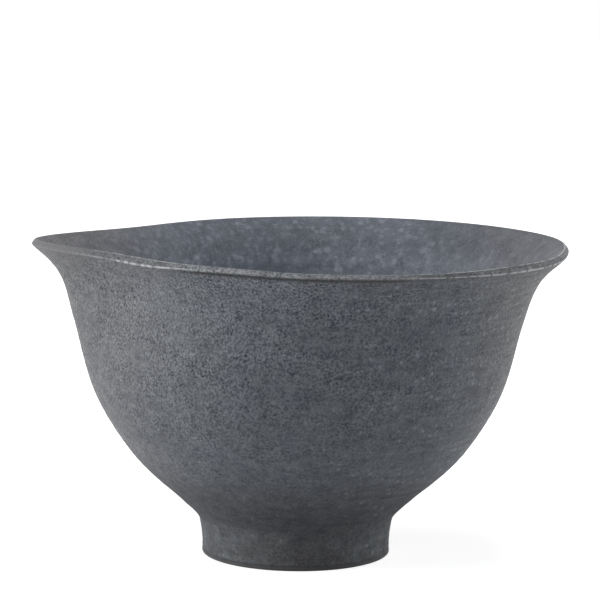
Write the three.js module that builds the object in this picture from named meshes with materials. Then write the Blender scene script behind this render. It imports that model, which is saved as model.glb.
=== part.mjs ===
// A stoneware tea bowl with a pinched pouring lip and a luted foot ring, in millimetres.
// +Z is up, the bowl's axis is Z, the table is at z = 0, and the pouring lip points along -X.
// The wall is thrown round and then pinched, so each piece is a turned section whose points
// are moved by one shared pinch. Heights are above the table.
import * as THREE from "three";

// The finished outside, glaze included, from the foot up.
const footRadius = 25.37; // at the glaze's lower edge
const footSpread = 0.25; // how much wider the bottom edge is
const footWaistRadius = 25.37;
const footWaistHeight = 3.6;
const footShoulderRadius = 25.83;
const footShoulderHeight = 7.6;
const neckRadius = 27; // where the wall springs from the foot
const neckHeight = 11;
const haunchRadius = 32.3;
const haunchHeight = 16.2;
const lowerBellyRadius = 45.15;
const lowerBellyHeight = 28.3;
const bellyRadius = 55.7;
const bellyHeight = 46.2;
const shoulderRadius = 60.3;
const shoulderHeight = 63;
const flareRadius = 65.1; // where the wall starts to turn outwards
const flareHeight = 75.9;
const rimRadius = 72.3;
const height = 84.7;

// The lip's section, with an end face square to the flared wall.
const lipFlare = 52; // degrees from upright
const lipThickness = 2.05;
const lipCorner = 0.75;

// The thickness of the finished wall, and the floor of the bowl.
const flareThickness = 2.9;
const shoulderThickness = 4;
const bellyThickness = 4.6;
const lowerBellyThickness = 5.6;
const floorThickness = 6; // at the middle
const floorRadius = 20; // where the floor starts to rise
const floorRise = 1.9; // how much it has risen there

// The foot ring, thrown by itself and luted on.
const footHeight = 9.9; // to the flat land under the bowl
const footWall = 4.2; // at the table
const footDraft = 0.9; // how much narrower the recess is at its top
const footOuterBevel = 0.45;
const footInnerBevel = 0.7;
const recessDoming = 0.8; // how much the recess rises to its middle

// The slip between them. It fills a slant cut on the ring's inner top edge, and what is
// squeezed out into the recess is wiped to a hollow fillet.
const slipThickness = 0.35;
const slipFillet = 1.2;
const ringSlant = 0.8; // how wide the slant cut is

// The glaze.
const outsideGlaze = 0.35;
const insideGlaze = 0.4;
const lipGlaze = 0.25; // it runs thin over the lip
const recessGlaze = 0.3;
const bareFootBand = 1.3; // wiped clean above the table, outside
const bareRecessBand = 1.7; // and inside the ring
const glazeSeat = 0.04; // clearance between a coat of glaze and what it covers

// The pouring lip: the flanks are pressed in, and the tip is drawn back out to the rim.
const pinchDepth = 29;
const pinchSpread = 63; // degrees each way
const drawnDepth = 28.5;
const drawnSpread = 27.5; // degrees each way
const drawnPower = 1.65; // how round the tip is: 1 is pointed, 2 is blunt
const pinchReach = 55; // how far down from the rim the wall was moved

// How finely the shapes are cut.
const turns = 54;
const crowding = 0.3; // how much closer together the turns are at the pouring lip
const wallSteps = 2; // to each stretch between two heights
const cornerSteps = 2;
const domeSteps = 3;

const degree = Math.PI / 180;
const at = (r, z) => new THREE.Vector2(r, z);

// How far the wall is moved inwards, by the angle from the pouring lip and the height.
// It is next to nothing at the tip and on the far side, and fades out down the wall.
function pinch(angle, z) {
  const degrees = Math.abs(angle) / degree;
  const pressed = Math.exp(-((degrees / pinchSpread) ** 2));
  const drawn = Math.exp(-((degrees / drawnSpread) ** drawnPower));
  const rise = THREE.MathUtils.clamp(1 - (height - z) / pinchReach, 0, 1);
  const share = rise ** 3 * (4 - 3 * rise); // level at the rim, so that the lip keeps its flare
  return (pinchDepth * pressed - drawnDepth * drawn) * share;
}

// A section turned about Z and pinched. The section runs with the clay on its left.
function turned(section) {
  const geometry = new THREE.LatheGeometry(section, turns);
  const vertices = geometry.getAttribute("position");
  for (let i = 0; i < vertices.count; i++) {
    const { x: radius, y: z } = section[i % section.length];
    const even = (Math.floor(i / section.length) % turns) * ((2 * Math.PI) / turns);
    const angle = even + crowding * Math.sin(even);
    const moved = radius === 0 ? 0 : radius - pinch(angle - Math.PI, z);
    vertices.setXYZ(i, moved * Math.cos(angle), moved * Math.sin(angle), z);
  }
  matchFacets(geometry, section);
  geometry.computeVertexNormals();
  return geometry;
}

// Each four-sided patch of a turned shape is split in two. Where the section runs down, it is
// split the other way, so that the two faces of a wall and of its glaze have matching facets.
function matchFacets(geometry, section) {
  const index = geometry.getIndex();
  for (let i = 0; i < index.count; i += 6) {
    const [a, b, d, c] = [0, 1, 2, 3].map((k) => index.getX(i + k));
    if (section[d % section.length].y >= section[a % section.length].y) continue;
    [a, b, c, a, c, d].forEach((corner, k) => index.setX(i + k, corner));
  }
}

// A line moved to its left, square to itself, by a depth for each point's height.
// A point on the axis moves along the axis.
function inset(line, depthAt) {
  return line.map((here, i) => {
    const before = line[Math.max(i - 1, 0)];
    const after = line[Math.min(i + 1, line.length - 1)];
    const along = after.clone().sub(before);
    if (here.x === 0) along.y = 0;
    along.normalize();
    return here.clone().addScaledVector(at(-along.y, along.x), depthAt(here.y));
  });
}

// The stretch of a rising line between two heights, cut off at each height that it crosses.
function between(line, low, high) {
  const crossing = (z) => {
    const next = line.findIndex((p) => p.y > z);
    if (next < 1) return [];
    const below = line[next - 1];
    return [below.clone().lerp(line[next], (z - below.y) / (line[next].y - below.y))];
  };
  return [...crossing(low), ...line.filter((p) => p.y > low && p.y < high), ...crossing(high)];
}

// A round corner, from one direction to another, in degrees from outwards.
function corner(centre, radius, from, to, steps) {
  return Array.from({ length: steps + 1 }, (_, i) => {
    const angle = (from + ((to - from) * i) / steps) * degree;
    return at(centre.x + radius * Math.cos(angle), centre.y + radius * Math.sin(angle));
  });
}

// A loop: a line out along one side and back along the other.
const loop = (out, back) => [...out, ...back.toReversed(), out[0]];

// The lip: outer corner, flat end, inner corner.
function lipLine() {
  const up = 90 - lipFlare; // the wall's direction, in degrees from outwards
  const half = lipThickness / 2 - lipCorner;
  const across = at(Math.sin(up * degree), -Math.cos(up * degree)).multiplyScalar(2 * half);
  const outer = at(rimRadius - lipCorner, height - lipCorner + across.y);
  const inner = at(outer.x - across.x, height - lipCorner);
  return [
    ...corner(outer, lipCorner, up - 90, up, cornerSteps),
    ...corner(inner, lipCorner, up, up + 90, cornerSteps),
  ];
}

// The outside, from the glaze's lower edge up to the lip.
const lip = lipLine();
const outsideCurve = new THREE.SplineCurve([
  at(footRadius, bareFootBand),
  at(footWaistRadius, footWaistHeight),
  at(footShoulderRadius, footShoulderHeight),
  at(neckRadius, neckHeight),
  at(haunchRadius, haunchHeight),
  at(lowerBellyRadius, lowerBellyHeight),
  at(bellyRadius, bellyHeight),
  at(shoulderRadius, shoulderHeight),
  at(flareRadius, flareHeight),
  lip[0],
]);

// The inside, from the lip down to the middle of the floor. Each place on the wall is set off
// from the same place outside by the wall's thickness there. The curve runs on past the
// middle to its mirrored side, so that the floor is level there.
function insideLine() {
  const stretches = outsideCurve.points.length - 1;
  const setOff = (fromLip, thickness) => {
    const share = 1 - fromLip / stretches;
    const along = outsideCurve.getTangent(share);
    return outsideCurve.getPoint(share).addScaledVector(at(-along.y, along.x), thickness);
  };
  const floor = footHeight + recessDoming + floorThickness;
  const points = [
    lip.at(-1),
    setOff(1, flareThickness),
    setOff(2, shoulderThickness),
    setOff(3, bellyThickness),
    setOff(4, lowerBellyThickness),
    at(floorRadius, floor + floorRise),
    at(0, floor),
    at(-floorRadius, floor + floorRise),
  ];
  const line = new THREE.SplineCurve(points).getPoints(wallSteps * (points.length - 1));
  return line.slice(0, line.length - wallSteps);
}

// The whole finished surface, from the foot over the lip to the middle of the floor, and the
// clay under its glaze.
const outside = outsideCurve.getPoints(wallSteps * (outsideCurve.points.length - 1));
const inside = insideLine();
const lipEnd = outside.length + lip.length - 2; // where the outside coat ends
const skin = [...outside, ...lip.slice(1), ...inside.slice(1)];
const thinning = (z) => THREE.MathUtils.smoothstep(z, flareHeight, height - lipThickness);
const outsideCoat = (z) => THREE.MathUtils.lerp(outsideGlaze, lipGlaze, thinning(z));
const insideCoat = (z) => THREE.MathUtils.lerp(insideGlaze, lipGlaze, thinning(z));
const clayOutside = inset(skin, (z) => outsideCoat(z) + glazeSeat).slice(0, lipEnd + 1);
const clayInside = inset(skin, (z) => insideCoat(z) + glazeSeat).slice(lipEnd + 1);

// The recess under the bowl, clay and slip, from its middle out and down to the table.
const recessRadius = footRadius + footSpread - footWall; // at the table
const recessTopRadius = recessRadius - footDraft;
const landRadius = recessTopRadius - slipFillet; // where the bowl's flat land starts
const dome = Array.from({ length: domeSteps + 1 }, (_, i) => {
  const share = i / domeSteps;
  return at(landRadius * share, footHeight + recessDoming * (1 - share ** 2));
});
const fillet = corner(at(landRadius, footHeight - slipFillet), slipFillet, 90, 0, cornerSteps);
const ringTop = footHeight - slipThickness;

function bowlBody() {
  const wall = between(clayOutside, footHeight, Infinity);
  return turned([...dome, ...wall, ...clayInside]);
}

function footRing() {
  const spreadRadius = footRadius + footSpread;
  return turned(
    loop(
      [
        at(recessRadius + footInnerBevel, 0),
        at(spreadRadius - footOuterBevel, 0),
        at(spreadRadius, footOuterBevel),
        ...between(clayOutside, 0, ringTop),
      ],
      [
        at(recessRadius, footInnerBevel),
        at(recessTopRadius, footHeight - slipFillet),
        at(recessTopRadius + ringSlant, ringTop),
      ],
    ),
  );
}

// It lies flat on the ring and under the bowl's land, and stands off the slant cut.
function lutingSlip() {
  const [bottom, top] = between(clayOutside, ringTop, footHeight);
  const slantTop = at(recessTopRadius + ringSlant, ringTop);
  return turned(loop([slantTop, bottom, top], [...fillet.toReversed().slice(0, -1), dome.at(-1)]));
}

// From above the bare foot up the wall and over the lip.
function outsideGlazeCoat() {
  const face = skin.slice(0, lipEnd + 1);
  const back = inset(skin, outsideCoat).slice(0, lipEnd + 1);
  return turned(loop(face, back));
}

// From the lip's inner edge down over the floor.
function insideGlazeCoat() {
  const face = inside.map((p) => p.clone());
  const along = face[1].clone().sub(face[0]).normalize();
  const back = inset(skin, insideCoat).slice(lipEnd);
  for (const end of [face, back]) end[0].addScaledVector(along, glazeSeat);
  return turned([...back.toReversed(), ...face]);
}

// Under the bowl and down the inside of the ring, above its bare edge.
function recessGlazeCoat() {
  const share = (bareRecessBand - footInnerBevel) / (footHeight - slipFillet - footInnerBevel);
  const edge = at(recessRadius - footDraft * share, bareRecessBand);
  const line = [...dome, ...fillet.slice(1), edge];
  const face = inset(line, () => -glazeSeat - recessGlaze);
  const back = inset(line, () => -glazeSeat);
  return turned([...face, ...back.toReversed()]);
}

// Colours are of the fired surfaces.
const stoneware = { color: 0x3f3b37, roughness: 0.9, metalness: 0 };
const slip = { color: 0x4a443e, roughness: 0.95, metalness: 0 };
const charcoalGlaze = { color: 0x56595e, roughness: 0.55, metalness: 0 };
const blueGreyGlaze = { color: 0x657078, roughness: 0.5, metalness: 0 };
const footGlaze = { color: 0x484c4e, roughness: 0.6, metalness: 0 };

function piece(name, geometry, finish) {
  const mesh = new THREE.Mesh(geometry, new THREE.MeshStandardMaterial(finish));
  mesh.name = name;
  return mesh;
}

const teaBowl = new THREE.Group();
teaBowl.add(piece("bowl_body", bowlBody(), stoneware));
teaBowl.add(piece("foot_ring", footRing(), stoneware));
teaBowl.add(piece("luting_slip", lutingSlip(), slip));
teaBowl.add(piece("glaze_outside", outsideGlazeCoat(), charcoalGlaze));
teaBowl.add(piece("glaze_inside", insideGlazeCoat(), blueGreyGlaze));
teaBowl.add(piece("glaze_foot_well", recessGlazeCoat(), footGlaze));

export default teaBowl;
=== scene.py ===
import math
import bpy
import numpy as np
from mathutils import Matrix, Vector


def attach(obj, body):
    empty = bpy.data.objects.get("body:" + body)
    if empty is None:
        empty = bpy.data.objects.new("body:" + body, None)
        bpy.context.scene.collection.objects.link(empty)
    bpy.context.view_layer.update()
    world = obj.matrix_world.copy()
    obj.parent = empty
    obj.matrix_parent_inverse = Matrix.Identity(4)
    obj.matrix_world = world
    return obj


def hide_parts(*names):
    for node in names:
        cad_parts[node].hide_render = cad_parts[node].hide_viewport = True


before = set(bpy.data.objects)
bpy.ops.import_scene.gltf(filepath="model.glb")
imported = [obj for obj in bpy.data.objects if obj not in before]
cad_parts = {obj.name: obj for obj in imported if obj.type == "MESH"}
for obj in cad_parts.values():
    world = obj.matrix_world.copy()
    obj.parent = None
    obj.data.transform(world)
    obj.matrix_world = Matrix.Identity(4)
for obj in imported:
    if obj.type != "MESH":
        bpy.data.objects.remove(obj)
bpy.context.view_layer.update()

print("tea bowl: the frame is loaded")

mm = 0.001

# The camera looks along +Y, a little down, with a long lens.
cameraView = {
    "target": (0.47, 0.0, 68.91),  # mm
    "distance": 728,               # mm
    "pitchDown": 7.605,            # degrees
    "roll": 0.577,                 # degrees, anticlockwise
    "lens": 162.0,
    "sensor": 36.0,
    "clip": (0.01, 40),            # m
}


def makeCamera(view):
    data = bpy.data.cameras.new("camera")
    data.lens, data.sensor_width = view["lens"], view["sensor"]
    data.clip_start, data.clip_end = view["clip"]
    camera = bpy.data.objects.new("camera", data)
    pitch = math.radians(view["pitchDown"])
    back = Vector((0, -math.cos(pitch), math.sin(pitch))) * view["distance"]
    camera.matrix_world = (Matrix.Translation((Vector(view["target"]) + back) * mm)
                           @ Matrix.Rotation(math.pi / 2 - pitch, 4, "X")
                           @ Matrix.Rotation(math.radians(view["roll"]), 4, "Z"))
    bpy.context.scene.collection.objects.link(camera)
    bpy.context.scene.camera = camera


makeCamera(cameraView)

# The bowl's finished section in millimetres as (radius, height), and its pinched lip. The
# pouring lip's tip points along -X, and the far end along +X.
bowl = {
    "outline": [(25.37, 1.3), (25.37, 3.6), (25.83, 7.6), (27.0, 11.0), (32.3, 16.2),
                (45.15, 28.3), (55.7, 46.2), (60.3, 63.0), (65.1, 75.9)],
    "rimRadius": 72.3,
    "height": 84.7,
    "lipFlare": 52.0,                   # degrees from upright
    "lipThickness": 2.05,
    "lipCorner": 0.5,
    "thickness": [2.9, 4.0, 4.6, 5.6],  # of the wall, from the flare down
    "floorHeight": 16.7,
    "floorRadius": 20.0,
    "floorRise": 1.9,
    "pinchDepth": 29.0,
    "pinchSpread": 63.0,                # degrees
    "drawnDepth": 28.5,
    "drawnSpread": 27.5,                # degrees
    "drawnPower": 1.65,
    "pinchReach": 55.0,
}
stretchSteps = 40


def throughPoints(points):
    # A cubic through each pair of points whose slope at a point is half the step from the
    # point before it to the point after it.
    p = np.array(points, float)
    before = np.vstack([p[:1], p[:-2]])[:, None, :]
    after = np.vstack([p[2:], p[-1:]])[:, None, :]
    a, b = p[:-1, None, :], p[1:, None, :]
    slopeA, slopeB = (b - before) / 2, (after - a) / 2
    t = np.linspace(0, 1, stretchSteps, endpoint=False)[None, :, None]
    cubic = 2 * (a - b) + slopeA + slopeB
    square = 3 * (b - a) - 2 * slopeA - slopeB
    return np.vstack([(cubic * t**3 + square * t**2 + slopeA * t + a).reshape(-1, 2), p[-1:]])


def arc(centre, radius, start, end, steps=8):
    # The centre plus the radius times (cos, sin) of an even run of angles.
    angle = np.radians(np.linspace(start, end, steps + 1))
    return np.array(centre) + radius * np.column_stack([np.cos(angle), np.sin(angle)])


def evenly(line, step):
    # The same line with points a step apart, measured along it.
    line = np.array(line, float)
    length = np.concatenate([[0], np.cumsum(np.hypot(*np.diff(line, axis=0).T))])
    stops = np.linspace(0, length[-1], max(2, round(length[-1] / step) + 1))
    return np.column_stack([np.interp(stops, length, line[:, 0]),
                            np.interp(stops, length, line[:, 1])])


def leftOf(line):
    # Unit vectors square to a line, on its left. On the axis they point along the axis.
    along = np.gradient(line, axis=0)
    along[line[:, 0] < 1e-9, 1] = 0
    along /= np.hypot(*along.T)[:, None]
    return np.column_stack([-along[:, 1], along[:, 0]])


def under(line, depth):
    # The line moved to its left by a depth, or by one for each point.
    return line + leftOf(line) * np.broadcast_to(depth, len(line))[:, None]


def endOnAxis(line):
    # The same line with its last point put on the axis.
    line[-1, 0] = 0
    return line


def atHeight(line, z):
    # The point of a rising line at a height.
    rising = line[: np.argmax(line[:, 1])]
    return np.array([[np.interp(z, rising[:, 1], rising[:, 0]), z]])


def lipLine():
    # Two rounded corners with a short flat between them, square to the flare.
    up = 90 - bowl["lipFlare"]
    corner, flat = bowl["lipCorner"], bowl["lipThickness"] - 2 * bowl["lipCorner"]
    across = flat * np.array([math.sin(math.radians(up)), -math.cos(math.radians(up))])
    outer = np.array([bowl["rimRadius"] - corner, bowl["height"] - corner + across[1]])
    inner = np.array([outer[0] - across[0], bowl["height"] - corner])
    return np.vstack([arc(outer, corner, up - 90, up), arc(inner, corner, up, up + 90)])


def wallLines():
    # The outside from the foot to the lip, the lip, and the inside down to the floor's middle.
    # A last stretch past the axis makes the floor level there, and is cut off again.
    lip = lipLine()
    points = np.vstack([bowl["outline"], lip[:1]])
    chords = points[2:] - points[:-2]
    inward = np.column_stack([-chords[:, 1], chords[:, 0]]) / np.hypot(*chords.T)[:, None]
    setOff = [points[-2 - i] + inward[-1 - i] * t for i, t in enumerate(bowl["thickness"])]
    low, edge = bowl["floorHeight"], bowl["floorRadius"]
    rise = low + bowl["floorRise"]
    inside = throughPoints([lip[-1], *setOff, (edge, rise), (0, low), (-edge, rise)])
    return throughPoints(points), lip, inside[:-stretchSteps]


def pinch(angle, z):
    # A depth times a wide bell of the angle, less another times a narrow one, all times a share
    # of the height that starts level at the reach's foot and ends level at the rim.
    degrees = np.abs(np.degrees(angle))
    pressed = bowl["pinchDepth"] * np.exp(-((degrees / bowl["pinchSpread"]) ** 2))
    drawn = bowl["drawnDepth"] * np.exp(-((degrees / bowl["drawnSpread"]) ** bowl["drawnPower"]))
    rise = np.clip(1 - (bowl["height"] - z) / bowl["pinchReach"], 0, 1)
    return (pressed - drawn) * rise**3 * (4 - 3 * rise)


def smooth(value, start, end):
    # 3 t^2 - 2 t^3 of the share t of the way from the start to the end.
    t = np.clip((value - start) / (end - start), 0, 1)
    return t * t * (3 - 2 * t)


# How far the thrown wall wanders from its even section: (height, millimetres). Its wandering
# and the throwing rings fade towards the axis, and the rings fade out under the lip as well.
thrown = {
    "swell": [(4, 0.05), (13, 0.06), (20, 0.12), (27, -0.04), (41.5, 0.17), (50, -0.08),
              (62, 0.18), (72, -0.02), (78, 0.14), (83, 0.02)],
    "lean": [(4, -0.06), (13, -0.12), (20, -0.02), (31, 0.19), (50, 0.0), (65, -0.16),
             (75, 0.07), (83, 0.0)],
    "wanderFullAt": 20.0,               # from the axis
    "ringsFullAt": 8.0,                 # from the axis
    "ringsEnd": 0.3,                    # under the lip
    "ringsFade": 3.0,
}


def wander(angle, z):
    # The swell at a height plus the lean at it times the cosine of the angle from +X.
    swell, lean = throughPoints(thrown["swell"]), throughPoints(thrown["lean"])
    return np.interp(z, *swell.T) + np.interp(z, *lean.T) * np.cos(angle)


# What the hand left along the rim: (degrees from +X, millimetres). The rim rises, its outer
# corner rises a little more, and a groove is pressed under it.
rim = {
    "rise": [(-180, 0.3), (-150, 0.05), (-125, 0.05), (-106, 0.25), (-92, -0.2), (-74, -0.55),
             (-58, -0.75), (-40, -0.5), (-20, -0.55), (0, 0.35), (30, 0.15), (60, 0.1),
             (100, 0.0), (140, 0.1)],
    "corner": [(-180, 0.0), (-135, -0.35), (-118, 0.3), (-95, 0.55), (-70, 0.65), (-56, 0.4),
               (-42, -0.2), (-20, -0.15), (0, 0.0), (90, 0.1)],
    "groove": [(-180, 0.0), (-125, 0.1), (-104, 0.35), (-85, 0.5), (-66, 0.4), (-50, 0.1),
               (0, 0.0), (90, 0.1)],
    "riseFrom": 60.0, "cornerFrom": 75.0, "cornerFull": 82.9, "cornerEnd": 84.5,
    "grooveHeight": 81.9, "grooveTall": 0.6, "grooveFrom": 81.7, "grooveFull": 82.4,
}


def roundTheRim(points, angle):
    # A smooth closed line through the points, read at an angle.
    turn = np.array([(360, 0)])
    line = throughPoints(np.vstack([points[-2:] - turn, points, points[:2] + turn]))
    return np.interp(np.degrees(np.arctan2(np.sin(angle), np.cos(angle))), *line.T)


def rimLift(angle, z):
    # The rise grows from below the shoulder to the lip. The corner's part fades both ways.
    whole = smooth(z, rim["riseFrom"], bowl["height"])
    outer = smooth(z, rim["cornerFrom"], rim["cornerFull"])
    outer = outer * (1 - smooth(z, rim["cornerFull"], rim["cornerEnd"]))
    return roundTheRim(rim["rise"], angle) * whole + roundTheRim(rim["corner"], angle) * outer


def grooveDepth(angle, z):
    # A bell of the height with its middle just under the lip.
    bell = np.exp(-(((z - rim["grooveHeight"]) / rim["grooveTall"]) ** 2))
    return roundTheRim(rim["groove"], angle) * bell


def waves(angle, z, look):
    # A sum of cosines of (whole turns times the angle plus height over a wavelength), with
    # phases and lengths drawn from a seed. It closes on itself all the way round.
    rng = np.random.default_rng(look["seed"])
    total = np.zeros(np.broadcast(angle, z).shape)
    for _ in range(look["count"]):
        turns = rng.integers(-look["turns"], look["turns"] + 1)
        length = look["shortest"] * (look["longest"] / look["shortest"]) ** rng.random()
        total += np.cos(turns * angle + 2 * np.pi * (z / length + rng.random()))
    return look["proud"] * total / math.sqrt(look["count"] / 2)


def turned(name, rows, turns, rings=None, face=slice(0), marks=None, crowding=0.3):
    # Radius less the pinch plus the wander, turned about Z, with more turns near the lip's tip.
    # The rings push the rows of the face out, square to the section.
    even = np.arange(turns) * 2 * np.pi / turns
    angle = (even + crowding * np.sin(even))[None, :]
    r = np.repeat(rows[:, :1], turns, axis=1)
    z = np.repeat(rows[:, 1:], turns, axis=1)
    axisRows = rows[:, 0] < 1e-9
    if rings:
        below = (bowl["height"] - z[face] - thrown["ringsEnd"]) / thrown["ringsFade"]
        fade = np.clip(r[face] / thrown["ringsFullAt"], 0, 1) * np.clip(below, 0, 1)
        push = waves(angle, z[face], rings) * fade
        left = leftOf(rows[face])
        r[face] -= push * left[:, :1]
        z[face] -= push * left[:, 1:]
    wandered = wander(angle, z) * np.clip(r / thrown["wanderFullAt"], 0, 1)
    r = r - pinch(angle - np.pi, z) + wandered - grooveDepth(angle, z)
    z = z + rimLift(angle, z)
    r[axisRows] = 0
    grid = np.stack([r * np.cos(angle), r * np.sin(angle), z], axis=2) * mm
    return closedMesh(name, grid, axisRows, marks)


def closedMesh(name, grid, axisRows, marks):
    # Quads between neighbouring rows and turns, closed all the way round. Rows on the axis
    # become one point with a fan of triangles, and any other section joins end to start.
    rows, turns = grid.shape[:2]
    ids = np.arange(rows * turns).reshape(rows, turns)
    ids[axisRows] = ids[axisRows][:, :1]
    ring = np.vstack([ids, ids[:1]]) if not axisRows.any() else ids
    low, high = ring[:-1], ring[1:]
    quads = np.stack([low, np.roll(low, -1, 1), np.roll(high, -1, 1), high], axis=2)
    quads = quads.reshape(-1, 4)
    lowPole, highPole = quads[:, 0] == quads[:, 1], quads[:, 2] == quads[:, 3]
    whole = quads[~(lowPole | highPole)]
    fans = np.vstack([quads[lowPole & ~highPole][:, [0, 2, 3]],
                      quads[highPole & ~lowPole][:, :3]])
    used, index = np.unique(np.concatenate([whole.ravel(), fans.ravel()]), return_inverse=True)
    mesh = bpy.data.meshes.new(name)
    mesh.vertices.add(len(used))
    mesh.vertices.foreach_set("co", grid.reshape(-1, 3)[used].astype(np.float32).ravel())
    mesh.loops.add(len(index))
    mesh.loops.foreach_set("vertex_index", index.astype(np.int32).ravel())
    mesh.polygons.add(len(whole) + len(fans))
    starts = np.concatenate([np.arange(len(whole)) * 4,
                             len(whole) * 4 + np.arange(len(fans)) * 3])
    mesh.polygons.foreach_set("loop_start", starts.astype(np.int32))
    mesh.update(calc_edges=True)
    mesh.validate()
    mesh.shade_smooth()
    for key, values in (marks or {}).items():
        mark = mesh.attributes.new(key, "FLOAT", "POINT")
        mark.data.foreach_set("value", np.repeat(values, turns)[used].astype(np.float32))
    piece = bpy.data.objects.new(name, mesh)
    bpy.context.scene.collection.objects.link(piece)
    return piece


outside, lip, inside = wallLines()
print("tea bowl: the section is drawn")


def node(tree, kind, inputs=None, **settings):
    made = tree.nodes.new(kind)
    for key, value in settings.items():
        setattr(made, key, value)
    for socket, value in (inputs or {}).items():
        if isinstance(value, bpy.types.NodeSocket):
            tree.links.new(value, made.inputs[socket])
        else:
            made.inputs[socket].default_value = value
    return made


def times(tree, a, b, plus=0.0):
    sums = node(tree, "ShaderNodeMath", {0: a, 1: b, 2: plus}, operation="MULTIPLY_ADD")
    return sums.outputs[0]


def larger(tree, a, b):
    return node(tree, "ShaderNodeMath", {0: a, 1: b}, operation="MAXIMUM").outputs[0]


def spread(tree, value, low, high, toLow=0.0, toHigh=1.0):
    # From toLow to toHigh along a smooth step.
    made = node(tree, "ShaderNodeMapRange", {"Value": value, "From Min": low, "From Max": high,
                                             "To Min": toLow, "To Max": toHigh})
    made.interpolation_type = "SMOOTHSTEP"
    return made.outputs[0]


def over(tree, distance, reach, atStart=0.0, atEnd=1.0):
    # The same over a reach in millimetres.
    return spread(tree, distance, reach[0] * mm, reach[1] * mm, atStart, atEnd)


def mixed(tree, share, a, b, how="MIX"):
    made = node(tree, "ShaderNodeMix", {"Factor": share, 6: a, 7: b},
                data_type="RGBA", blend_type=how)
    return made.outputs[2]


def multiplied(tree, a, b):
    return mixed(tree, 1.0, a, b, "MULTIPLY")


def cloud(tree, place, size, detail=2.0, roughness=0.5, shift=0.0):
    # Soft noise whose lumps are about size millimetres wide. The shift, in metres, makes one
    # cloud differ from another.
    if shift:
        moved = node(tree, "ShaderNodeMapping", {"Vector": place, "Location": (shift,) * 3})
        place = moved.outputs[0]
    noise = node(tree, "ShaderNodeTexNoise", {"Vector": place, "Scale": 1 / (size * mm),
                                              "Detail": detail, "Roughness": roughness})
    return noise.outputs["Fac"]


def spots(tree, place, apart, radius, softness=0.35, smallest=0.25, largest=1.35):
    # Round spots in cells that are apart millimetres wide. Each cell's spot has its own size,
    # between the smallest and the largest share of the radius.
    cells = node(tree, "ShaderNodeTexVoronoi", {"Vector": place, "Scale": 1 / (apart * mm)},
                 feature="F1")
    draw = node(tree, "ShaderNodeSeparateColor", {0: cells.outputs["Color"]}).outputs[0]
    size = times(tree, draw, (largest - smallest) * radius / apart, smallest * radius / apart)
    edge = node(tree, "ShaderNodeMath", {0: size, 1: cells.outputs["Distance"]},
                operation="SUBTRACT").outputs[0]
    return spread(tree, edge, -softness * radius / apart, softness * radius / apart)


def ringWise(tree, place, around, tall, wallRadius=60):
    # Coordinates that run all the way round without a join: the direction from the axis,
    # stretched to lumps of the given width on a wall of that radius, and the height.
    parts = node(tree, "ShaderNodeSeparateXYZ", {0: place}).outputs
    flat = node(tree, "ShaderNodeCombineXYZ", {0: parts[0], 1: parts[1]}).outputs[0]
    unit = node(tree, "ShaderNodeVectorMath", {0: flat}, operation="NORMALIZE").outputs[0]
    wide = node(tree, "ShaderNodeVectorMath", {0: unit, 1: (wallRadius / around,) * 3},
                operation="MULTIPLY").outputs[0]
    up = node(tree, "ShaderNodeCombineXYZ", {2: times(tree, parts[2], 1 / (tall * mm))})
    return node(tree, "ShaderNodeVectorMath", {0: wide, 1: up.outputs[0]}).outputs[0]


def streakNoise(tree, place, wide, tall):
    # Noise in lumps that are wide along the ring and tall up the wall, in millimetres.
    around = ringWise(tree, place, wide, tall)
    noise = node(tree, "ShaderNodeTexNoise", {"Vector": around, "Scale": 1.0, "Detail": 2.0})
    return noise.outputs["Fac"]


def tinted(tree, shade, redFaster=0.03, blueSlower=0.06):
    # The shade as a colour whose dark parts keep a little blue.
    red = times(tree, shade, 1 + redFaster, -redFaster)
    blue = times(tree, shade, 1 - blueSlower, blueSlower)
    return node(tree, "ShaderNodeCombineColor", {0: red, 1: shade, 2: blue}).outputs[0]


def linear(r, g, b):
    # From the 0 to 255 values of a screen to light.
    c = np.array([r, g, b]) / 255
    return (*np.where(c <= 0.04045, c / 12.92, ((c + 0.055) / 1.055) ** 2.4), 1.0)


def newMaterial(name):
    material = bpy.data.materials.new(name)
    material.use_nodes = True
    tree = material.node_tree
    place = node(tree, "ShaderNodeTexCoord").outputs["Object"]
    return material, tree, tree.nodes["Principled BSDF"], place


# In a finish, a reach is where a change begins and ends, in millimetres along X, from the
# middle outwards, or up. Far is the end away from the pouring lip. Edges are the two levels
# between which a noise goes from nothing to its whole.
def glazeColour(tree, place, x, height, look):
    # A grey that drifts between two tints and wavers in hue. It is plainer at both ends of the
    # bowl, and darker and greyer above the foot.
    drift = cloud(tree, place, look["driftSize"], 3, shift=look["driftShift"])
    colour = mixed(tree, spread(tree, drift, *look["driftEdges"]), look["deep"], look["pale"])
    hue = spread(tree, cloud(tree, place, look["hueSize"], 2, shift=look["hueShift"]),
                 *look["hueEdges"])
    colour = mixed(tree, times(tree, hue, look["hue"]), colour, look["hueColour"])
    plain = larger(tree, over(tree, x, look["lipHueReach"], look["lipHue"], 0),
                   over(tree, x, look["farHueReach"], 0, look["farHue"]))
    colour = mixed(tree, plain, colour, look["plainColour"])
    neck = over(tree, height, look["neckReach"], 0, look["neck"])
    return mixed(tree, neck, colour, look["neckColour"])


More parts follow.
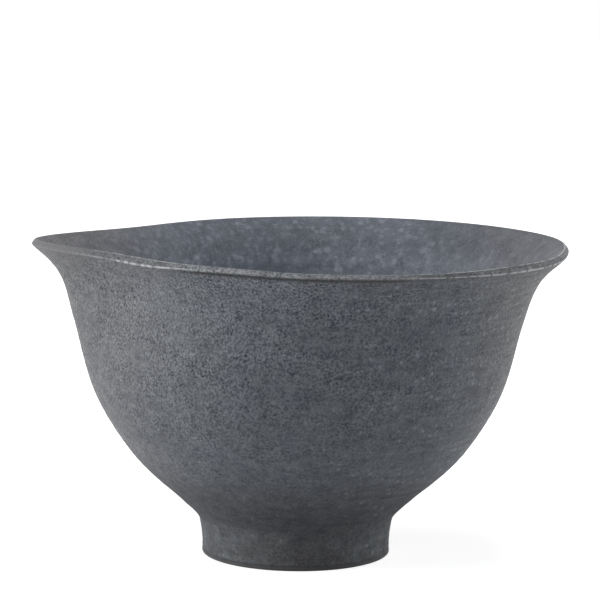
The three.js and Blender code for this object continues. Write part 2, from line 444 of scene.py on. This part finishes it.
def paintedLightAndShade(tree, x, height, look):
    # Painted light and shade on the coat: darker low down, lighter at the flare, darker at the
    # far end, lighter at the pouring lip, and high on the wall darker behind the lip and lighter
    # on the flanks. Inside, it is lighter deep in the well.
    tone = times(tree, over(tree, height, look["lowReach"], look["lowTone"], 1),
                 over(tree, height, look["flareReach"], 1, look["flareTone"]))
    tone = times(tree, tone, over(tree, x, look["farToneReach"], 1, look["farTone"]))
    tone = times(tree, tone, over(tree, x, look["lipToneReach"], look["lipTone"], 1))
    across = times(tree, over(tree, x, look["upperLipReach"], -look["upperLip"], look["upper"]),
                   1.0, over(tree, x, look["upperFarReach"], 0, -look["upper"]))
    return times(tree, tone, times(tree, over(tree, height, look["upperReach"]), across, 1.0))


def liveliness(tree, place, x, height, far, look):
    # How strong the grain is. It gathers in patches and at the rim, and grows calm towards the
    # foot, the far end and the lip.
    patch = spread(tree, streakNoise(tree, place, look["patchWide"], look["patchTall"]),
                   *look["patchEdges"], look["patchLeast"], 1)
    strength = times(tree, over(tree, height, look["calmReach"], look["calm"], 1),
                     over(tree, height, look["rimReach"], 1, look["rimGrain"]))
    strength = times(tree, times(tree, strength, patch),
                     times(tree, far, look["farCalm"] - 1, 1.0))
    return times(tree, strength, over(tree, x, look["lipCalmReach"], look["lipCalm"], 1))


def footMottles(tree, place, fromMiddle, look):
    # Pale mottles on a darker grey, fainter on the flanks.
    mottle = spread(tree, cloud(tree, place, look["mottleSize"], 4, 0.65, look["mottleShift"]),
                    *look["mottleEdges"])
    mottle = times(tree, mottle,
                   over(tree, fromMiddle, look["mottleReach"], look["mottleLeast"], 1))
    return mixed(tree, mottle, look["footDeep"], look["footPale"])


def withLip(tree, place, x, height, fromMiddle, shade, colour, look):
    # The lip's face is a little greyer than the wall where the glaze breaks thin, and much paler
    # on the flanks, partly from that and partly painted light from above. Its tip is a plain
    # paler grey, and so is the wall just under it. Its corners carry a painted highlight in
    # dashes, partly where the glaze breaks thin, more towards the ends but hardly at the tip.
    # The groove is darkened on the flanks with painted shadow under the overhang, where the
    # glaze also pools.
    lipFace, edge, groove = [node(tree, "ShaderNodeAttribute", attribute_name=key).outputs["Fac"]
                             for key in ("lipFace", "edge", "groove")]
    ends = over(tree, fromMiddle, look["lipEndsReach"])
    # On the flanks the lip's face is paler, partly where the glaze breaks thin and partly
    # painted light from above.
    lipColour = multiplied(tree, mixed(tree, ends, look["lipFlanksThinAndLit"], look["lipEnds"]), shade)
    tip = over(tree, x, look["tipReach"], look["tip"], 0)
    underTip = times(tree, tip, over(tree, height, look["underTipReach"], 0, look["underTip"]))
    lipColour = mixed(tree, tip, lipColour, look["tipColour"])
    colour = mixed(tree, underTip, colour, look["tipColour"])
    colour = mixed(tree, times(tree, lipFace, look["lip"]), colour, lipColour)
    # The corners' near-white is a painted highlight in dashes, partly where the glaze breaks
    # thin.
    breakAndGlint = spread(tree, cloud(tree, place, look["breakAndGlintSize"], shift=look["breakAndGlintShift"]),
                  *look["breakAndGlintEdges"], look["breakAndGlintLeast"], 1)
    edge = times(tree, times(tree, edge, breakAndGlint),
                 over(tree, fromMiddle, look["edgeReach"], look["edgeFlanks"], look["edge"]))
    edge = times(tree, edge, over(tree, x, look["edgeTipReach"], look["edgeTip"], 1))
    colour = mixed(tree, edge, colour, look["edgeGlintColour"])
    # The groove's dark on the flanks is painted shadow under the overhang, where the glaze also
    # pools.
    flanks = over(tree, fromMiddle, look["grooveReach"], look["groove"], 0)
    return mixed(tree, times(tree, groove, flanks), colour, look["grooveShadowColour"])


def matteGlaze(name, look):
    # The colour times a shade and the coat's painted light and shade. The shade is 1 plus grain,
    # dark specks, streaks along the rings, lumps, pale flecks in rows and a soft bloom. All but
    # the lumps and the flecks make the relief too.
    material, tree, shader, place = newMaterial(name)
    parts = node(tree, "ShaderNodeSeparateXYZ", {0: place}).outputs
    x, height = parts[0], parts[2]
    fromMiddle = node(tree, "ShaderNodeMath", {0: x}, operation="ABSOLUTE").outputs[0]
    far = over(tree, x, look["farReach"])

    grain = spread(tree, cloud(tree, place, look["grainSize"], look["grainDetail"], 0.6),
                   *look["grainEdges"], -0.5, 0.5)
    specks = times(tree, spots(tree, place, look["speckApart"], look["speckRadius"]),
                   times(tree, far, look["speck"] * look["speckFade"], -look["speck"]))
    lively = times(tree, grain, look["grain"], specks)
    strength = liveliness(tree, place, x, height, far, look)
    streaks = streakNoise(tree, place, look["streakWide"], look["streakTall"])
    banding = times(tree, far, look["streak"] - look["streakLeast"], look["streakLeast"])
    lumps = cloud(tree, place, look["lumpSize"], look["lumpDetail"], look["lumpRough"],
                  look["lumpShift"])
    fading = over(tree, x, look["fleckReach"], look["lipFlecks"], 1)
    flecks = times(tree, fading, spots(tree, place, look["fleckApart"], look["fleckRadius"],
                                       look["fleckSoft"]))
    flecks = times(tree, flecks, spread(tree, far, 0, 1, look["fleckLeast"], look["fleck"]))
    flecks = times(tree, flecks, spread(tree, streaks, *look["rowEdges"], look["fleckRows"], 1))
    bloom = spread(tree, cloud(tree, place, look["bloomSize"], 1.5, shift=look["bloomShift"]),
                   *look["bloomEdges"])
    bloom = times(tree, times(tree, bloom, fading), times(tree, far, -look["bloomFade"], 1.0))

    shade = times(tree, times(tree, lively, 1.0, look["lift"]), strength, 1.0)
    shade = times(tree, times(tree, streaks, 1.0, -0.5), banding, shade)
    shade = times(tree, times(tree, lumps, 1.0, -0.5), look["lump"], shade)
    shade = times(tree, flecks, 1.0, shade)
    shade = tinted(tree, times(tree, bloom, look["bloom"], shade))
    colour = glazeColour(tree, place, x, height, look)
    # The coat's colour and shade times its painted light and shade.
    colour = multiplied(tree, multiplied(tree, colour, shade), paintedLightAndShade(tree, x, height, look))
    mottles = multiplied(tree, footMottles(tree, place, fromMiddle, look), shade)
    colour = mixed(tree, over(tree, height, look["footReach"], look["foot"], 0), colour, mottles)
    colour = withLip(tree, place, x, height, fromMiddle, shade, colour, look)

    relief = times(tree, lively, strength)
    relief = times(tree, streaks, look["streakRelief"], relief)
    relief = times(tree, bloom, look["bloomRelief"], relief)
    bump = node(tree, "ShaderNodeBump", {"Strength": look["bump"], "Height": relief,
                                         "Distance": look["bumpHeight"] * mm})
    rough = over(tree, height, look["roughReach"], look["roughLow"], look["rough"])
    rough = times(tree, grain, -look["roughDrift"], rough)
    tree.links.new(colour, shader.inputs["Base Color"])
    tree.links.new(bump.outputs[0], shader.inputs["Normal"])
    tree.links.new(rough, shader.inputs["Roughness"])
    shader.inputs["Specular IOR Level"].default_value = look["gloss"]
    return material


outsideFinish = {
    "deep": linear(95, 99.5, 106), "pale": linear(102, 106, 112.5),
    "driftSize": 16, "driftShift": 0.046, "driftEdges": (0.3, 0.7),
    "hue": 0.2, "hueColour": linear(96, 97.5, 101),
    "hueSize": 9, "hueShift": 0.31, "hueEdges": (0.35, 0.65),
    "plainColour": linear(104.5, 104.8, 107),
    "lipHue": 0.95, "lipHueReach": (-74, -6), "farHue": 0.9, "farHueReach": (38, 62),
    "neck": 0.75, "neckReach": (30, 17), "neckColour": linear(94, 94.5, 98),

    # The tones below are painted light and shade on the coat.
    "lowTone": 0.87, "lowReach": (12, 32), "flareTone": 1.05, "flareReach": (62, 79),
    "farTone": 0.99, "farToneReach": (15, 65), "lipTone": 1.06, "lipToneReach": (-60, -20),
    "upper": 0.03, "upperReach": (40, 62), "upperFarReach": (8, 40),
    "upperLip": 0.04, "upperLipReach": (-26, 2),

    "calm": 0.36, "calmReach": (14, 60), "rimGrain": 1.2, "rimReach": (62, 80),
    "farReach": (-10, 45), "farCalm": 0.66, "lipCalm": 0.68, "lipCalmReach": (-64, -22),
    "patchWide": 14, "patchTall": 5.5, "patchLeast": 0.62, "patchEdges": (0.38, 0.62),

    "grain": 1.15, "grainSize": 0.6, "grainDetail": 1.4, "grainEdges": (0.3, 0.7), "lift": 0.08,
    "speck": 0.4, "speckApart": 0.85, "speckRadius": 0.26, "speckFade": 0.7,
    "fleck": 0.85, "fleckApart": 1.9, "fleckRadius": 0.45, "fleckSoft": 0.8, "fleckLeast": 0.35,
    "fleckRows": 0.45, "rowEdges": (0.42, 0.56), "lipFlecks": 1.0, "fleckReach": (-64, -24),
    "streak": 0.95, "streakLeast": 0.35, "streakWide": 14, "streakTall": 1.2,
    "lump": 1.3, "lumpSize": 3.5, "lumpDetail": 3.5, "lumpRough": 0.75, "lumpShift": 0.13,
    "bloom": 0.0, "bloomSize": 3.0, "bloomEdges": (0.55, 0.75), "bloomShift": 0.05,
    "bloomFade": 0.6,

    "foot": 0.85, "footReach": (6, 13),
    "footDeep": linear(97.5, 98, 100.5), "footPale": linear(105, 110, 114.5),
    "mottleSize": 2.6, "mottleShift": 0.23, "mottleEdges": (0.46, 0.58),
    "mottleLeast": 0.3, "mottleReach": (6, 14),

    # The lip face's pale flanks are partly painted light from above.
    "lip": 0.9, "lipFlanksThinAndLit": linear(122, 125, 129), "lipEnds": linear(95, 97, 100),
    "lipEndsReach": (18, 38),
    "tip": 0.85, "tipColour": linear(116, 116, 118), "tipReach": (-62, -52),
    "underTip": 0.6, "underTipReach": (78, 82.5),
    # The edge colour is a painted highlight, partly where the glaze breaks thin.
    "edge": 0.95, "edgeGlintColour": linear(196, 196, 198), "edgeFlanks": 0.15,
    "edgeReach": (20, 35), "edgeTip": 0.12, "edgeTipReach": (-60, -42),
    "breakAndGlintSize": 2.2, "breakAndGlintShift": 0.41, "breakAndGlintEdges": (0.4, 0.52), "breakAndGlintLeast": 0.25,
    # The groove colour is painted shadow under the lip, where the glaze also pools.
    "groove": 0.85, "grooveShadowColour": linear(51, 48, 48), "grooveReach": (22, 38),

    "bump": 0.3, "bumpHeight": 0.1, "streakRelief": 0.3, "bloomRelief": 0.1,
    "rough": 0.62, "roughLow": 0.87, "roughReach": (14, 34), "roughDrift": 0.1, "gloss": 0.2,
}
insideFinish = {
    **outsideFinish,
    "deep": linear(103, 108.5, 119), "pale": linear(111, 116.5, 127),
    "hueColour": linear(110, 114, 121), "plainColour": linear(111.5, 112, 115.5),
    "lipHue": 1.0, "lipHueReach": (-64, -28), "farHue": 0.6, "farHueReach": (30, 62),
    "neck": 0.0,
    # Inside, the tones are painted light and shade: much lighter deep in the well, darker at the
    # flare and the far end, lighter at the pouring lip.
    "lowTone": 1.42, "lowReach": (70.5, 79), "flareTone": 0.88, "flareReach": (75, 81),
    "farTone": 0.83, "farToneReach": (16, 50), "lipTone": 1.2, "upper": 0.0, "upperLip": 0.0,
    "calm": 0.6, "farReach": (22, 50), "farCalm": 1.0, "lipCalm": 1.0,
    "grain": 0.3, "speck": 0.06,
    "fleck": 0.25, "fleckApart": 2.8, "fleckRadius": 0.8, "fleckLeast": 0.75, "fleckRows": 0.0,
    "lipFlecks": 0.3, "streak": 0.2, "streakLeast": 0.2, "streakWide": 11, "streakTall": 4.5,
    "lump": 1.0, "lumpSize": 4.0, "lumpDetail": 2, "lumpRough": 0.6, "lumpShift": 0.07,
    "bloom": 0.5, "bloomSize": 2.2, "bloomEdges": (0.5, 0.72), "tip": 0.0,
}


def bareClay(name, look):
    # Two greys in soft patches, with paler grit that stands out.
    material, tree, shader, place = newMaterial(name)
    drift = spread(tree, cloud(tree, place, look["driftSize"], 4, 0.6), *look["driftEdges"])
    colour = mixed(tree, drift, look["deep"], look["pale"])
    grit = spots(tree, place, look["gritApart"], look["gritRadius"])
    colour = mixed(tree, times(tree, grit, look["grit"]), colour, look["gritColour"])
    grain = cloud(tree, place, look["grainSize"], 3, 0.6)
    relief = times(tree, grit, 1.0, grain)
    bump = node(tree, "ShaderNodeBump", {"Strength": look["bump"], "Height": relief,
                                         "Distance": look["bumpHeight"] * mm})
    rough = times(tree, grain, look["roughDrift"], look["rough"])
    tree.links.new(colour, shader.inputs["Base Color"])
    tree.links.new(bump.outputs[0], shader.inputs["Normal"])
    tree.links.new(rough, shader.inputs["Roughness"])
    return material


clayFinish = {
    "deep": linear(72, 72.5, 75), "pale": linear(84, 84.5, 87),
    "driftSize": 6, "driftEdges": (0.3, 0.7),
    "gritApart": 1.3, "gritRadius": 0.22, "grit": 0.4, "gritColour": linear(95, 94, 93),
    "grainSize": 0.4, "bump": 0.6, "bumpHeight": 0.15, "rough": 0.8, "roughDrift": 0.15,
}
slipFinish = {
    **clayFinish,
    "deep": linear(66, 65, 64), "pale": linear(82, 80, 78), "grit": 0.2, "bump": 0.35,
}

outsideGlaze = matteGlaze("outside glaze", outsideFinish)
insideGlaze = matteGlaze("inside glaze", insideFinish)
recessGlaze = matteGlaze("recess glaze", outsideFinish)
stoneware = bareClay("stoneware", clayFinish)
slipClay = bareClay("luting slip", slipFinish)
print("tea bowl: the glazes and the clay are mixed")


def finishPiece(piece, material, cadNode):
    piece.data.materials.append(material)
    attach(piece, "root")
    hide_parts(cadNode)


# The thickness of each coat, and the seat that is left between a coat and the clay.
glaze = {"outside": 0.35, "inside": 0.4, "lip": 0.25, "recess": 0.3, "seat": 0.04}


def coatDepth(line, thick):
    # The coat thins from the flare to the lip along a smooth step of the height.
    flare, lipFoot = bowl["outline"][-1][1], bowl["height"] - bowl["lipThickness"]
    return thick + (glaze["lip"] - thick) * smooth(line[:, 1], flare, lipFoot)


# The coats are fine outside and coarse against the clay.
coats = {
    "turns": 264, "faceStep": 0.42, "insideStep": 0.5, "backStep": 2.2,
    "outsideRings": {"seed": 3, "count": 16, "turns": 2, "shortest": 1.6, "longest": 4.5,
                     "proud": 0.012},
    "insideRings": {"seed": 8, "count": 14, "turns": 2, "shortest": 2.2, "longest": 7.0,
                    "proud": 0.03},
}


def pourOutside(look):
    # The section goes up the outside, over the lip, and back down against the clay. The marks
    # show the glaze where the lip's corners and face are, and the groove, which take a painted
    # highlight, painted light and a painted shadow.
    face = np.vstack([evenly(outside, look["faceStep"]), lip[1:]])
    coarse = evenly(np.vstack([outside, lip[1:]]), look["backStep"])
    back = under(coarse, coatDepth(coarse, glaze["outside"]))
    half = len(lip) // 2
    wall, rest = len(face) - 2 * half, len(back)
    corners = np.tile(np.sin(np.linspace(0, np.pi, half)) ** 2, 2)
    below = smooth(face[:wall, 1], rim["grooveFrom"], rim["grooveFull"])
    marks = {
        "edge": np.concatenate([np.zeros(wall), corners, np.zeros(rest)]),
        "lipFace": np.concatenate([np.zeros(wall), np.ones(2 * half), np.zeros(rest)]),
        "groove": np.concatenate([below, np.zeros(2 * half + rest)]),
    }
    piece = turned("glaze_outside_skin", np.vstack([face, back[::-1]]), look["turns"],
                   look["outsideRings"], slice(0, len(face)), marks)
    finishPiece(piece, outsideGlaze, "glaze_outside")


def pourInside(look):
    # The section goes up against the clay from the axis, and back down the inside.
    face = endOnAxis(evenly(inside, look["insideStep"]))
    coarse = evenly(inside, look["backStep"])
    back = endOnAxis(under(coarse, coatDepth(coarse, glaze["inside"])))
    piece = turned("glaze_inside_skin", np.vstack([back[::-1], face]), look["turns"],
                   look["insideRings"], slice(len(back), None))
    finishPiece(piece, insideGlaze, "glaze_inside")


pourOutside(coats)
pourInside(coats)
print("tea bowl: the coats are poured")

foot = {
    "height": 9.9,                      # to the land under the bowl
    "radius": 25.37,
    "spread": 0.05,
    "wall": 4.2,
    "draft": 0.9,
    "outerBevel": 0.6,
    "innerBevel": 0.7,
    "doming": 0.8,
    "slip": 0.35,
    "fillet": 1.2,
    "slant": 0.8,
    "bareOutside": 1.3,
    "bareRecess": 1.7,
    "underCoat": 0.03,                  # from the coat's lower edge down to the bare band
    "belowFillet": 0.4,
    "aboveBevel": 0.3,
}
# How finely the clay and the coat in the recess are drawn. No point of a wall lies closer to
# the height of the joint than the clear.
clay = {
    "wallStep": 0.9, "insideStep": 1.2, "footStep": 0.5, "recessStep": 0.4, "clear": 0.1,
    "domeSteps": 24, "bodyTurns": 160, "footTurns": 256,
}
seat = glaze["seat"]
recessRadius = foot["radius"] + foot["spread"] - foot["wall"]
recessTop = recessRadius - foot["draft"]
ringTop = foot["height"] - foot["slip"]
filletFoot = foot["height"] - foot["fillet"]
land = recessTop - foot["fillet"]
share = np.linspace(0, 1, clay["domeSteps"])
dome = np.column_stack([land * share, foot["height"] + foot["doming"] * (1 - share**2)])
fillet = arc((land, filletFoot), foot["fillet"], 90, 0)
clayWall = evenly(np.vstack([outside, lip[1:]]), clay["wallStep"])
clayOut = under(clayWall, coatDepth(clayWall, glaze["outside"]) + seat)
clayWell = evenly(inside, clay["insideStep"])
clayIn = endOnAxis(under(clayWell, coatDepth(clayWell, glaze["inside"]) + seat))


def throwBody():
    # The dome under the bowl, the outside from the joint up and over the lip, and the inside.
    rising = clayOut[clayOut[:, 1] > foot["height"] + clay["clear"]]
    rows = np.vstack([dome, atHeight(clayOut, foot["height"]), rising, clayIn[1:]])
    piece = turned("bowl_clay", rows, clay["bodyTurns"])
    finishPiece(piece, stoneware, "bowl_body")


def throwFoot():
    # The face it stands on, the outside up to the joint, the joint, and the recess wall down.
    # The bevels' arcs stop a little short of the face it stands on.
    bevel, edge = foot["innerBevel"], foot["outerBevel"]
    spreadRadius = foot["radius"] + foot["spread"]
    wallEnds = [[recessTop, filletFoot - foot["belowFillet"]],
                [recessRadius, bevel + foot["aboveBevel"]]]
    rows = np.vstack([
        evenly([[recessRadius + bevel, 0], [spreadRadius - edge, 0]], clay["footStep"]),
        arc((spreadRadius - edge, edge), edge, -75, 0, 5),
        [[foot["radius"], foot["bareOutside"] - foot["underCoat"]]],
        clayOut[clayOut[:, 1] < ringTop - clay["clear"]],
        atHeight(clayOut, ringTop),
        [[recessTop + foot["slant"], ringTop], [recessTop, filletFoot]],
        evenly(wallEnds, clay["footStep"]),
        arc((recessRadius + bevel, bevel), bevel, 180, 260, 5)])
    piece = turned("foot_ring_clay", rows, clay["footTurns"])
    finishPiece(piece, stoneware, "foot_ring")


def wipeSlip():
    # Out along the joint, up its edge, back along the top and down the fillet in the recess.
    rows = np.vstack([[[recessTop + foot["slant"], ringTop]], atHeight(clayOut, ringTop),
                      atHeight(clayOut, foot["height"]), fillet])
    piece = turned("luting_slip_ring", rows, clay["footTurns"])
    finishPiece(piece, slipClay, "luting_slip")


def pourRecess():
    # The dome under the bowl, the slip's fillet and the recess wall down to its bare band.
    straight = filletFoot - foot["innerBevel"]
    fall = foot["draft"] * (foot["bareRecess"] - foot["innerBevel"]) / straight
    line = np.vstack([dome, fillet[1:], [[recessRadius - fall, foot["bareRecess"]]]])
    line = evenly(line, clay["recessStep"])[::-1]
    face = endOnAxis(under(line, seat + glaze["recess"]))
    back = endOnAxis(under(line, seat))
    piece = turned("glaze_recess_skin", np.vstack([face[::-1], back]), clay["footTurns"])
    finishPiece(piece, recessGlaze, "glaze_foot_well")


throwBody()
throwFoot()
wipeSlip()
pourRecess()
print("tea bowl: the foot is luted on")


def seenDirectly(tree):
    # 1 for what the camera sees straight, in a reflection or through glass.
    path = node(tree, "ShaderNodeLightPath").outputs
    seen = larger(tree, path["Is Camera Ray"], path["Is Glossy Ray"])
    return larger(tree, seen, path["Is Transmission Ray"])


def makeSurround():
    # White to look at, and no light on the bowl.
    world = bpy.data.worlds.new("white surround")
    world.use_nodes = True
    bpy.context.scene.world = world
    tree = world.node_tree
    background = tree.nodes["Background"]
    background.inputs["Color"].default_value = (1, 1, 1, 1)
    tree.links.new(seenDirectly(tree), background.inputs["Strength"])


# A plain pale floor, in metres. It is white in the picture far from the bowl, and a little
# under it round the foot, for the shadow.
paleFloor = {
    "size": 24.0, "shade": 0.78, "rough": 0.9, "glow": 0.8, "shadowFrom": 0.3, "shadowTo": 0.9,
}


def makeFloor(look):
    half = look["size"] / 2
    corners = [(-half, -half, 0), (half, -half, 0), (half, half, 0), (-half, half, 0)]
    mesh = bpy.data.meshes.new("floor")
    mesh.from_pydata(corners, [], [(0, 1, 2, 3)])
    floor = bpy.data.objects.new("floor", mesh)
    bpy.context.scene.collection.objects.link(floor)
    material, tree, shader, place = newMaterial("pale floor")
    shader.inputs["Base Color"].default_value = (look["shade"],) * 3 + (1,)
    shader.inputs["Roughness"].default_value = look["rough"]
    shader.inputs["Specular IOR Level"].default_value = 0.0
    shader.inputs["Emission Color"].default_value = (1, 1, 1, 1)
    away = node(tree, "ShaderNodeVectorMath", {0: place}, operation="LENGTH").outputs["Value"]
    glow = spread(tree, away, look["shadowFrom"], look["shadowTo"], look["glow"], 1)
    tree.links.new(times(tree, seenDirectly(tree), glow), shader.inputs["Emission Strength"])
    mesh.materials.append(material)


# Soft lamps at both sides, in front and above, in metres and watts.
lamps = {
    "left": {"place": (-1.57, -0.16, 0.36), "size": (1.2, 0.7), "power": 21.2},
    "near": {"place": (-0.7, -1.4, 0.45), "size": (1.0, 0.7), "power": 2.0},
    "right": {"place": (1.52, 0.44, 0.36), "size": (1.3, 0.7), "power": 9.6},
    "front": {"place": (1.13, -0.65, 0.97), "size": (0.9, 0.9), "power": 3.1},
    "above": {"place": (0.0, 0.0, 1.65), "size": (0.9, 0.9), "power": 11.7},
}


def softLamp(name, look, target=(0, 0, 0.05)):
    data = bpy.data.lights.new(name, "AREA")
    data.shape = "RECTANGLE"
    data.size, data.size_y = look["size"]
    data.energy = look["power"]
    lamp = bpy.data.objects.new(name, data)
    lamp.location = look["place"]
    towards = Vector(look["place"]) - Vector(target)
    lamp.rotation_euler = towards.to_track_quat("Z", "Y").to_euler()
    bpy.context.scene.collection.objects.link(lamp)


makeSurround()
makeFloor(paleFloor)
for side, lampLook in lamps.items():
    softLamp(side + " lamp", lampLook)

bpy.context.scene.view_settings.view_transform = "Standard"
print("tea bowl: the studio is lit")
